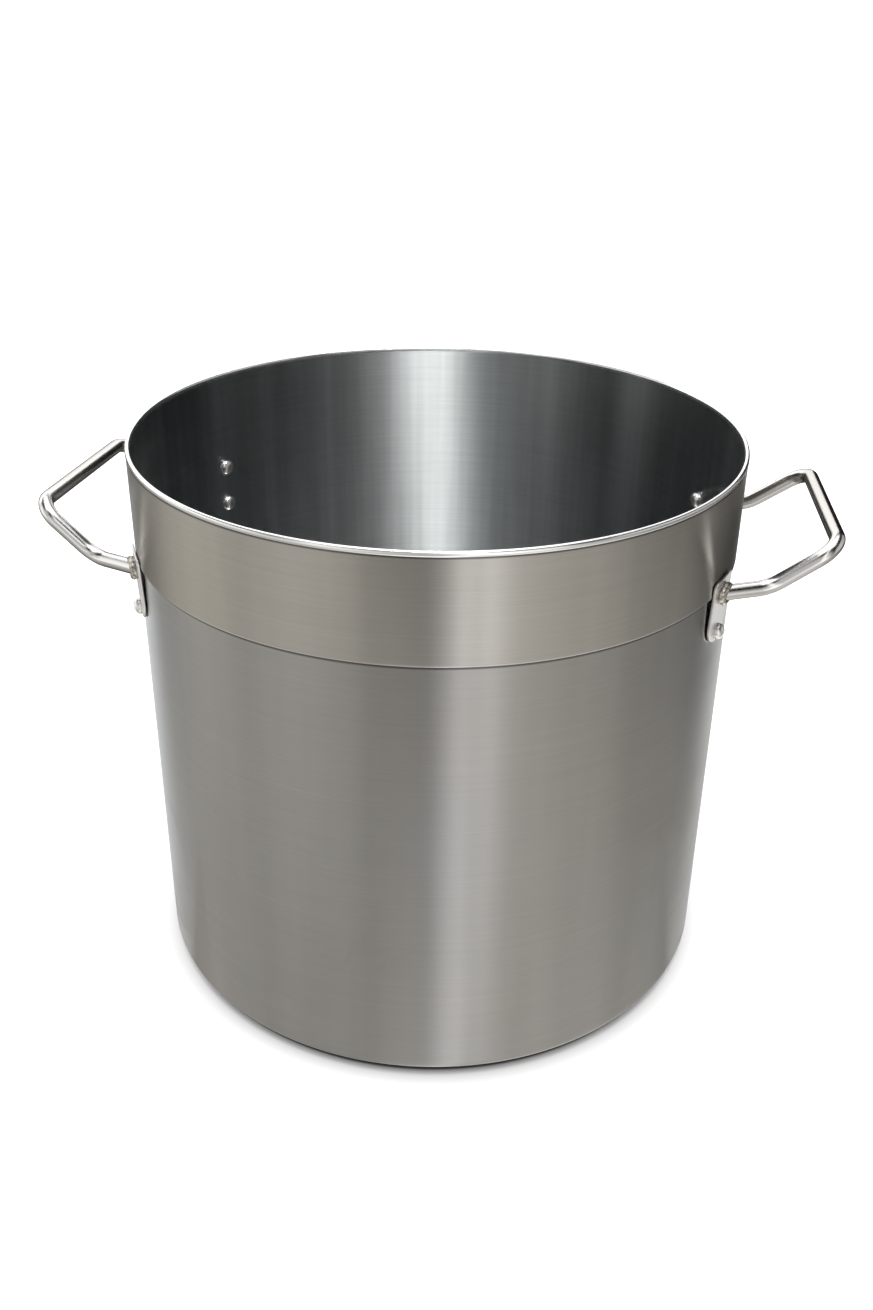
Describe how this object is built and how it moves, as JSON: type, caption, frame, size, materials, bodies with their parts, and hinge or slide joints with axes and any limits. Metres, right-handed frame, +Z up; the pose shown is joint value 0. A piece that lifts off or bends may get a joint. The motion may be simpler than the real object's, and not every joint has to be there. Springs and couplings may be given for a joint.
{
  "type": "stock pot",
  "caption": "Tall open stainless stock pot with a reinforcing band at the mouth, a sandwich base and two raised rod loop handles on riveted straps.",
  "frame": {"origin": "centre of the pot's underside, on the surface it stands on", "axes": "+Z up along the pot's axis, the right handle on +X, the left one on -X turned 3 degrees to the rear, -Y the front"},
  "size_m": [0.5165, 0.4, 0.375],
  "materials": {
    "shell_steel": "horizontally brushed stainless sheet, satin",
    "band_steel": "horizontally brushed stainless sheet, brighter and warmer than the shell",
    "rim_steel": "ground and polished weld bead",
    "core_aluminium": "plain rolled aluminium disc",
    "cap_steel": "circularly brushed stainless cap",
    "rod_steel": "polished stainless rod",
    "strap_steel": "brushed stainless plate with polished edges",
    "weld_steel": "rippled weld bead, straw-coloured from heat",
    "rivet_steel": "polished stainless rivet"
  },
  "bodies": {
    "root": {"pot_shell": "shell_steel", "top_band": "band_steel", "rim_bead": "rim_steel", "base_core_disc": "core_aluminium", "base_cap": "cap_steel", "handle_right": "rod_steel", "handle_left": "rod_steel", "strap_right_front": "strap_steel", "strap_right_rear": "strap_steel", "strap_left_front": "strap_steel", "strap_left_rear": "strap_steel", "leg_weld_right_front": "weld_steel", "leg_weld_right_rear": "weld_steel", "leg_weld_left_front": "weld_steel", "leg_weld_left_rear": "weld_steel", "upper_rivet_right_front": "rivet_steel", "upper_rivet_right_rear": "rivet_steel", "upper_rivet_left_front": "rivet_steel", "upper_rivet_left_rear": "rivet_steel", "lower_rivet_right_front": "rivet_steel", "lower_rivet_right_rear": "rivet_steel", "lower_rivet_left_front": "rivet_steel", "lower_rivet_left_rear": "rivet_steel"}
  },
  "joints": []
}
